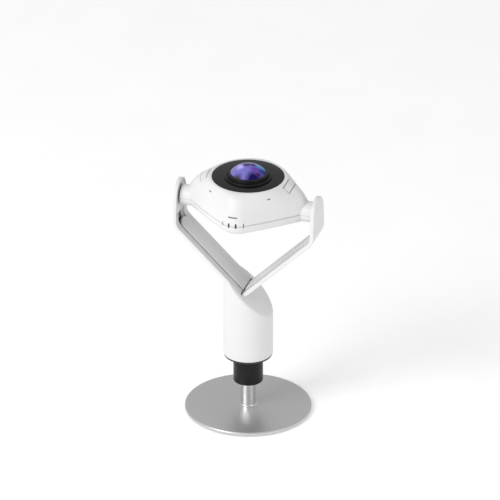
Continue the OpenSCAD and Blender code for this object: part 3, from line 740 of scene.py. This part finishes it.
def arm_mesh(name, path):
    """The arm shell: outer skin, rounded outer edges, lips, and the channel between the lips. The
    lips and the channel are in the second, pale material: partly the grey of the arm's inner side,
    partly painted shade for the head's shadow on it."""
    half = ARM_W / 2
    stations = arm_stations(path)
    top_s = path.along(PIVOT_Z + TIP_R)

    def outline(inset, depth):
        def half_at(s):
            if s > path.slant:
                return half_width(path.height(s), half - inset, TIP_R - inset)
            return half - inset
        kept = [min(max(s, ROOT_START + inset), top_s - inset) for s in stations]
        return closed_outline(kept, half_at, path, depth)

    def channel(inset, depth):
        tip = TIP_R - TIP_LIP_W - inset
        channel_top_s = path.along(PIVOT_Z + tip)

        def half_at(s):
            if s < path.recess:
                return half - LIP_W - inset
            return half_width(path.height(s), half - TIP_LIP_W - inset, tip)
        return closed_outline([min(s, channel_top_s) for s in stations], half_at, path, depth)

    rings = [outline(ARM_EDGE * (1 - math.sin(t)), ARM_EDGE * (1 - math.cos(t))) for t in quarter_turn(4)]
    rings += [outline(LIP_EDGE * (1 - math.cos(t)), ARM_T - LIP_EDGE * (1 - math.sin(t)))
              for t in quarter_turn(3)]
    first_pale_ring = len(rings) - 1
    rings += [channel(-LIP_EDGE, ARM_T), channel(-LIP_EDGE * 0.3, ARM_T - LIP_EDGE * 0.3),
              channel(0, ARM_T - LIP_EDGE), channel(0, SKIN)]

    size = len(rings[0])
    faces = quads_between(len(rings), size, False)
    # Faces from the lips inwards take the pale plastic: partly the arm's grey inner side, partly painted
    # shade
    zones = [int(j >= first_pale_ring) for j in range(len(rings) - 1) for _ in range(size)]
    for first, zone in ((0, 0), ((len(rings) - 1) * size, 1)):
        strip = strip_faces(first, size)
        faces += strip
        zones += [zone] * len(strip)
    return mesh_from(name, [p for ring in rings for p in ring], faces, zones)


def cover_mesh(name, path):
    """The cover in the channel: a raised strip with soft edges and a round upper end."""
    end = path.slant - 1
    half = (ARM_W - 2 * LIP_W) / 2 - COVER_GROOVE
    top = ARM_T + COVER_RISE

    def outline(inset, depth):
        r = half - inset
        start = COVER_START + inset
        stations = [start + (end - start) * k / COVER_STEPS for k in range(COVER_STEPS)]
        stations += [end + r * math.sin(t) for t in quarter_turn(COVER_END_STEPS)]

        def half_at(s):
            return r if s <= end else math.sqrt(max(0, r * r - (s - end) ** 2))
        return closed_outline(stations, half_at, path, depth)

    rings = [outline(0, top - COVER_T)]
    rings += [outline(COVER_EDGE * (1 - math.cos(t)), top - COVER_EDGE * (1 - math.sin(t)))
              for t in quarter_turn(4)]
    return loft(name, rings)


def build_arms():
    for side, name, foot in ((1, "right", RIGHT_FOOT), (-1, "left", LEFT_FOOT)):
        path = ArmPath(foot, side)
        # The arm's lips and channel take the pale plastic, partly as painted shade for the head's shadow
        finish_mesh(f"{name}_arm_look", arm_mesh(f"{name}_arm_look", path), "column", white_plastic,
                    [f"{name}_arm_shell"], 35, pale_plastic)
        finish_mesh(f"{name}_cover_look", cover_mesh(f"{name}_cover_look", path), "column",
                    pale_plastic, [f"{name}_arm_cover"], 35)


# ------------------------------------------------------------------ head

def plan_radius(angle):
    """The head's outline seen from above: rounded corners joined by slightly bulging flanks."""
    side_c = SIDE_REACH - SIDE_CORNER_R
    front_c = FRONT_REACH - FRONT_CORNER_R
    turn = math.acos((FRONT_CORNER_R - SIDE_CORNER_R) / math.hypot(side_c, front_c)) \
        - math.atan2(front_c, side_c)
    flank = front_c * math.sin(turn) + FRONT_CORNER_R
    side_end = math.atan2(SIDE_CORNER_R * math.sin(turn), side_c + SIDE_CORNER_R * math.cos(turn))
    front_start = math.atan2(front_c + FRONT_CORNER_R * math.sin(turn), FRONT_CORNER_R * math.cos(turn))
    q = math.atan2(abs(math.sin(angle)), abs(math.cos(angle)))
    if q < side_end:
        return side_c * math.cos(q) + math.sqrt(SIDE_CORNER_R ** 2 - (side_c * math.sin(q)) ** 2)
    if q > front_start:
        return front_c * math.sin(q) + math.sqrt(FRONT_CORNER_R ** 2 - (front_c * math.cos(q)) ** 2)
    bulge = FLANK_BULGE * math.sin(math.pi * (q - side_end) / (front_start - side_end))
    return (flank + bulge) / math.cos(q - turn)


PLAN_STEPS = 288
PLAN = [(t, plan_radius(t)) for t in full_turn(PLAN_STEPS)]


def head_ring(circle_r, plan_scale, inset, share, z):
    """A ring between a core outline, which is a circle plus a share of the head's plan, and the
    plan itself, at a height above the pivots."""
    ring = []
    for a, full in PLAN:
        plan = full - inset
        core = circle_r + plan_scale * plan
        r = core + (plan - core) * share
        ring.append((r * math.cos(a), r * math.sin(a), PIVOT_Z + z))
    return ring


def round_ring(r, z):
    return head_ring(r, 0, 0, 0, z)


def curve_out(t, power):
    """How far out a superellipse reaches, as a share of its half-width."""
    return max(0, math.cos(t)) ** (2 / power)


def curve_up(t, power):
    """How far up a superellipse reaches, as a share of its height."""
    return max(0, math.sin(t)) ** (2 / power)


RIM_R = DECK_R + 1.3
HOLE_R = DECK_R + 0.15
HOLE_EDGE = 0.2
CROWN_WALL = 2.1
LEDGE_W = 2
LEDGE_T = 1.4
DOME_STEPS = 28


def dome_rings(height, inset, lowest):
    """Rings of the dome from the deck's rim down to the seam."""
    start = math.asin((lowest / height) ** (DOME_POWER / 2))
    rings = []
    for k in range(DOME_STEPS + 1):
        t = math.pi / 2 - (math.pi / 2 - start) * k / DOME_STEPS
        rings.append(head_ring(RIM_R, 0, inset, curve_out(t, DOME_POWER),
                               height * curve_up(t, DOME_POWER)))
    return rings


def dome_shell(name):
    """The dome's shell, with the hole for the deck and the ledge that the deck rests on."""
    ledge_top = deck_low.z - PIVOT_Z
    ledge_r = DECK_R - LEDGE_W
    outer = dome_rings(DOME_H, 0, BAND_H)
    inner = list(reversed(dome_rings(DOME_H - CROWN_WALL, SHELL_WALL, BAND_H)))
    ledge = [round_ring(ledge_r, ledge_top - LEDGE_T), round_ring(ledge_r, ledge_top),
             round_ring(HOLE_R, ledge_top)]
    rim = [round_ring(HOLE_R, DOME_H - HOLE_EDGE), round_ring(HOLE_R + HOLE_EDGE, DOME_H)]
    return loft(name, outer + inner + ledge + rim, wrap=True)


def dome_solid(name, sink):
    """The dome's full volume, sunk along its surface by about `sink` millimetres."""
    rings = dome_rings(DOME_H - sink, sink, BAND_H - sink)
    return temporary(loft(name, rings))


AXLE_BORE_R = 3.0
AXLE_BORE_X = (38, 60)
NECK_OVERLAP = 2
NECK_SEAM = 0.1


def half_necks(obj, low, high):
    """Adds the halves of both necks between two heights, and bores them for the axles."""
    for side in (-1, 1):
        x0, x1 = sorted((side * (SIDE_REACH - SIDE_CORNER_R - NECK_OVERLAP), side * NECK_X))
        neck = cylinder_x("neck", NECK_R, x0, x1, PIVOT_Z)
        cut = block("neck_part", (-FAR, -FAR, PIVOT_Z + low), (FAR, FAR, PIVOT_Z + high))
        combine(neck, cut, "INTERSECT")
        combine(obj, neck, "UNION")
        x0, x1 = (side * x for x in AXLE_BORE_X)
        bore = cylinder_x("bore", AXLE_BORE_R, x0, x1, PIVOT_Z, 48)
        combine(obj, bore, "DIFFERENCE")


KEY_TILT = math.radians(30)
KEY_X = 35.7
KEY_RISE = 22.9
WINDOW_HALF_W = 3.3
WINDOW_Y = (-9.6, 5.4)
KEY_SPLIT_Y = -1.2
KEY_GAP = 0.4
FRAME_MARGIN = 0.45
FRAME_SUNK = 0.45
KEY_SUNK = 0.02
LIGHT_PLAY = 0.05
LIGHT_HOLE_IN = 4
KEY_SPANS = {"front": (WINDOW_Y[0] + KEY_GAP, KEY_SPLIT_Y - KEY_GAP / 2),
             "back": (KEY_SPLIT_Y + KEY_GAP / 2, WINDOW_Y[1] - KEY_GAP)}


def key_matrix(side):
    """Moves a shape at the origin to the keys' place on one side, square to the dome there."""
    place = Matrix.Translation((side * KEY_X, 0, PIVOT_Z + KEY_RISE))
    return place @ Matrix.Rotation(side * KEY_TILT, 4, "Y")


def key_block(name, side, span, low, high, half_w, margin=0.0):
    return block(name, (-half_w - margin, span[0] - margin, low),
                 (half_w + margin, span[1] + margin, high), key_matrix(side))


def cut_details(shell):
    """Windows for the keys with a sunk frame, dash slots, the light bar and the seam slots."""
    for side in (-1, 1):
        combine(shell, key_block("window", side, WINDOW_Y, -8, 8, WINDOW_HALF_W), "DIFFERENCE")
        frame_cut = key_block("frame", side, WINDOW_Y, -3, 7, WINDOW_HALF_W, FRAME_MARGIN)
        combine(frame_cut, dome_solid("sunk", FRAME_SUNK), "DIFFERENCE")
        combine(shell, frame_cut, "DIFFERENCE")
        combine(shell, dash_cutter(side), "DIFFERENCE")
    low, high = node_box("status_light")
    play = Vector((LIGHT_PLAY, LIGHT_PLAY, LIGHT_PLAY))
    inwards = Vector((0, LIGHT_HOLE_IN - LIGHT_PLAY, 0))
    hole = block("light_hole", low - play - inwards, high + play)
    combine(shell, hole, "DIFFERENCE")
    cut_seam_slots(shell)


DASH_PLACE = (24.4, -24.1, 18.9)
DASH_TILT = math.radians(25)
DASH_HALF_W, DASH_HALF_H = 1.7, 0.45
DASH_REACH = 4


def dash_cutter(side):
    x, y, z = DASH_PLACE
    place = Matrix.Translation((side * x, y, PIVOT_Z + z))
    turn = Matrix.Rotation(math.atan2(y, side * x), 4, "Z") @ Matrix.Rotation(-DASH_TILT, 4, "Y")
    return block("dash", (-DASH_REACH, -DASH_HALF_W, -DASH_HALF_H),
                 (DASH_REACH, DASH_HALF_W, DASH_HALF_H), place @ turn)


# The slots across the seam at the front corner, as (middle, width), and how far they reach
SEAM_SLOTS = ((-8.6, 0.7), (-2.9, 1.5), (2.9, 1.5), (8.6, 0.7))
SLOT_DOWN, SLOT_UP, SLOT_IN = 1.2, 3, 5


def cut_seam_slots(obj):
    for x, w in SEAM_SLOTS:
        low = (x - w / 2, -FRONT_REACH - 1, PIVOT_Z - SLOT_DOWN)
        high = (x + w / 2, -FRONT_REACH + SLOT_IN, PIVOT_Z + SLOT_UP)
        combine(obj, block("slot", low, high), "DIFFERENCE")


BELLY_STEPS = 24
WELL_R = 2.4
WELL_DEPTH = 1.6
SCREW_HEAD_R = 2.2


def belly_rings(height, inset):
    """Rings of the belly from the seam down to the bottom."""
    return [head_ring(0, BELLY_SCALE, inset, curve_out(t, BELLY_POWER), -height * curve_up(t, BELLY_POWER))
            for t in quarter_turn(BELLY_STEPS)]


def screw_wells():
    """The places of the four wells, in the four corners of the screws' box."""
    high = node_box("shell_screws")[1]
    x, y = high.x - SCREW_HEAD_R, high.y - SCREW_HEAD_R
    return [(sx * x, sy * y) for sx in (-1, 1) for sy in (-1, 1)]


def build_head():
    shell = temporary(dome_shell("top_shell_look"))
    half_necks(shell, NECK_SEAM, NECK_R + 1)
    cut_details(shell)
    take_piece(shell, "top_shell_look", "head", white_plastic, ["head_top_shell"])

    inner = belly_rings(BELLY_H - SHELL_WALL, SHELL_WALL)
    belly = temporary(loft("belly_look", inner[::-1] + belly_rings(BELLY_H, 0)))
    half_necks(belly, -NECK_R - 1, -NECK_SEAM)
    cut_seam_slots(belly)
    for x, y in screw_wells():
        rings = [circle(WELL_R, PIVOT_Z + z, 32, x, y) for z in (-BELLY_H - 1, -BELLY_H + WELL_DEPTH)]
        combine(belly, temporary(loft("well", rings)), "DIFFERENCE")
    take_piece(belly, "belly_look", "head", white_plastic, ["head_bottom_shell"])

    for side, name in ((1, "right"), (-1, "left")):
        for part, span in KEY_SPANS.items():
            key = key_block("key", side, span, -5, 6, WINDOW_HALF_W - KEY_GAP)
            combine(key, dome_solid("surface", KEY_SUNK), "INTERSECT")
            take_piece(key, f"{name}_{part}_key_look", f"{name}_{part}_key", white_plastic,
                       [f"{name}_{part}_key"])


# ------------------------------------------------------------------ lens

THROAT_R = 7.2
BARREL_NECK_IN = 5
BARREL_NECK_DEPTH = 4
DECK_PLAY = 0.2
RING_PLAY = 0.1
GLASS_PLAY = 0.05
GROOVE_DEPTH = 0.35
# The groove's four corners, as depths below the barrel's top
GROOVE_DOWN = (1.9, 1.7, 1.3, 1.1)
SEAT_DEPTH = 2
SEAT_LEDGE_W = 1.6
THROAT_DEPTH = 6
BAFFLE_STEPS = 6


def build_lens():
    z0, z1 = deck_low.z, deck_high.z
    hole = barrel_high.x + DECK_PLAY
    profile = rounded([(hole, z0, 0), (DECK_R, z0, 0), (DECK_R, z1, 1), (hole, z1, 0)], 0.25, 3)
    finish_mesh("deck_look", lathe("deck_look", profile, 192), "head", deck_black,
                ["lens_deck"])

    r, inner = ring_high.x, barrel_high.x + RING_PLAY
    profile = rounded([(inner, ring_low.z, 0), (r, ring_low.z, 0), (r, ring_high.z, 1),
                       (inner, ring_high.z, 1)], 0.5, 4)
    finish_mesh("lens_ring_look", lathe("lens_ring_look", profile), "head", lens_black,
                ["lens_ring"])

    build_barrel()
    build_front_glass()
    build_inner_lens()


def build_barrel():
    """The barrel: a narrow neck, a wide body with a fine groove, the glass's seat, and stepped
    baffles that catch stray light between the glass and the inner lens."""
    r, top = barrel_high.x, barrel_high.z
    neck_r, groove_r = r - BARREL_NECK_IN, r - GROOVE_DEPTH
    neck_top = deck_high.z - BARREL_NECK_DEPTH
    seat_r, seat_z = glass_high.x + GLASS_PLAY, top - SEAT_DEPTH
    groove = [top - down for down in GROOVE_DOWN]
    profile = rounded([
        (THROAT_R, barrel_low.z, 0), (neck_r, barrel_low.z, 0), (neck_r, neck_top, 0),
        (r, neck_top, 0), (r, groove[0], 0.4), (groove_r, groove[1], 0.3),
        (groove_r, groove[2], 0.3), (r, groove[3], 0.4), (r, top, 1), (seat_r, top, 0.4),
        (seat_r, seat_z, 0),
    ], 0.45, 4)
    high_r, throat_z = seat_r - SEAT_LEDGE_W, deck_high.z - THROAT_DEPTH
    radii = [high_r + (THROAT_R - high_r) * k / BAFFLE_STEPS for k in range(BAFFLE_STEPS + 1)]
    heights = [seat_z + (throat_z - seat_z) * k / BAFFLE_STEPS for k in range(BAFFLE_STEPS + 1)]
    for k in range(BAFFLE_STEPS):
        profile += [(radii[k], heights[k]), (radii[k], heights[k + 1])]
    profile.append((radii[-1], heights[-1]))
    finish_mesh("barrel_look", lathe("barrel_look", profile), "head", lens_black,
                ["lens_barrel"])


def cap_curve(ball_r, top, reach, steps):
    """Points down a ball from its top, out to an angle from its axis."""
    turns = [reach * k / steps for k in range(steps + 1)]
    return [(ball_r * math.sin(t), top - ball_r + ball_r * math.cos(t)) for t in turns]


def ball_radius(r, rise):
    """The radius of the ball whose cap is `r` in radius and `rise` high."""
    return (r * r + rise * rise) / (2 * rise)


# The hollow's ball is this share of the outer ball, and its top is this far above the barrel
HOLLOW_SHARE, HOLLOW_RISE = 0.62, 2.6
GLASS_BALL_R = ball_radius(glass_high.x, glass_high.z - barrel_high.z)
HOLLOW_BALL_R = GLASS_BALL_R * HOLLOW_SHARE
HOLLOW_TOP = barrel_high.z + HOLLOW_RISE
HOLLOW_REACH = math.acos((glass_low.z - HOLLOW_TOP + HOLLOW_BALL_R) / HOLLOW_BALL_R)
CAP_STEPS = 32
INNER_CAP_STEPS = 24
INNER_LENS_MAX_R = 11.5
INNER_LENS_PLAY = 0.6
INNER_LENS_GAP = 0.8
INNER_LENS_DOWN = 1.9
INNER_LENS_EDGE = 0.2


def build_front_glass():
    """A meniscus: a shallow cap outside and a deeper hollow inside."""
    r, top = glass_high.x, glass_high.z
    outer = cap_curve(GLASS_BALL_R, top, math.asin(r / GLASS_BALL_R), CAP_STEPS)
    hollow = cap_curve(HOLLOW_BALL_R, HOLLOW_TOP, HOLLOW_REACH, CAP_STEPS)
    profile = outer + [(r, glass_low.z)] + hollow[::-1]
    finish_mesh("front_glass_look", lathe("front_glass_look", profile), "head", coated_glass,
                ["front_glass"], 40)


def build_inner_lens():
    """The inner lens's upper surface bulges into the front glass's hollow."""
    r = min(HOLLOW_BALL_R * math.sin(HOLLOW_REACH) - INNER_LENS_PLAY, INNER_LENS_MAX_R)
    top = HOLLOW_TOP - INNER_LENS_GAP
    base = barrel_high.z - INNER_LENS_DOWN
    low = base - INNER_LENS_EDGE
    ball = ball_radius(r, top - base)
    profile = cap_curve(ball, top, math.asin(r / ball), INNER_CAP_STEPS) + [(r, low), (0, low)]
    finish_mesh("inner_lens_look", lathe("inner_lens_look", profile), "head", coated_glass,
                ["inner_lenses"], 40)


# ------------------------------------------------------------------ CAD nodes that stay

MATERIAL_OF_SLOT = {
    "satin_grey_metal": base_metal, "polished_steel": stem_steel, "black_collar": collar_black,
    "black_rubber": rubber, "screw_steel": screw_steel, "brass": brass,
    "white_plastic": white_plastic, "pale_plastic": pale_plastic, "black_plastic": black_plastic,
    "deck_black": deck_black, "lens_black": lens_black, "board_green": board_green,
    "aluminium": aluminium, "black_film": black_film, "clear_light": light_plastic,
    "sensor_glass": sensor_glass, "coated_glass": coated_glass,
}


def paint_cad_nodes():
    for part in frame["record"]["subparts"]:
        slots = NODES[part["node"]].data.materials
        slots.clear()
        slots.append(MATERIAL_OF_SLOT[part["material_slot"]])


# ------------------------------------------------------------------ floor and light

FLOOR_HALF_SIZE_M = 30.0
FLOOR_GLOW = 0.26
WORLD_GLOW = 0.58
LIGHT_TARGET_M = Vector((0, 0, 0.12))
# The area lights: place and size in metres, and power in watts
LIGHTS = (
    ("key", (-0.9, -1.3, 1.3), (1.0, 1.0), 20.5),
    ("side", (1.5, -0.6, 0.4), (0.5, 1.2), 3),
)


def build_stage():
    """A wide pale floor."""
    r = FLOOR_HALF_SIZE_M
    mesh = bpy.data.meshes.new("floor")
    mesh.from_pydata([(-r, -r, 0), (r, -r, 0), (r, r, 0), (-r, r, 0)], [], [(0, 1, 2, 3)])
    obj = bpy.data.objects.new("floor", mesh)
    bpy.context.scene.collection.objects.link(obj)
    paint = Paint("floor", (0.9, 0.9, 0.9), 0.7, Specular_IOR_Level=0.2)
    cloud = paint.span(paint.noise(60, 2), 0, 1)
    paint.link(paint.mix(cloud, (0.89, 0.89, 0.89), (0.91, 0.91, 0.91)), "Base Color")
    paint.set("Emission Color", (1, 1, 1, 1))
    paint.set("Emission Strength", FLOOR_GLOW)
    mesh.materials.append(paint.material)


def area_light(name, place, size, power):
    """A rectangular light that faces the object."""
    data = bpy.data.lights.new(name, "AREA")
    data.shape = "RECTANGLE"
    data.size, data.size_y = size
    data.energy = power
    light = bpy.data.objects.new(name, data)
    bpy.context.scene.collection.objects.link(light)
    light.location = place
    light.rotation_mode = "QUATERNION"
    light.rotation_quaternion = (LIGHT_TARGET_M - Vector(place)).to_track_quat("-Z", "Y")


def build_light():
    world = bpy.data.worlds.new("world")
    bpy.context.scene.world = world
    world.use_nodes = True
    background = world.node_tree.nodes["Background"]
    background.inputs["Color"].default_value = (1, 1, 1, 1)
    background.inputs["Strength"].default_value = WORLD_GLOW
    for name, place, size, power in LIGHTS:
        area_light(name, place, size, power)


bpy.context.scene.view_settings.view_transform = "Standard"
paint_cad_nodes()
build_stand()
build_column()
build_arms()
build_head()
build_lens()
build_stage()
build_light()
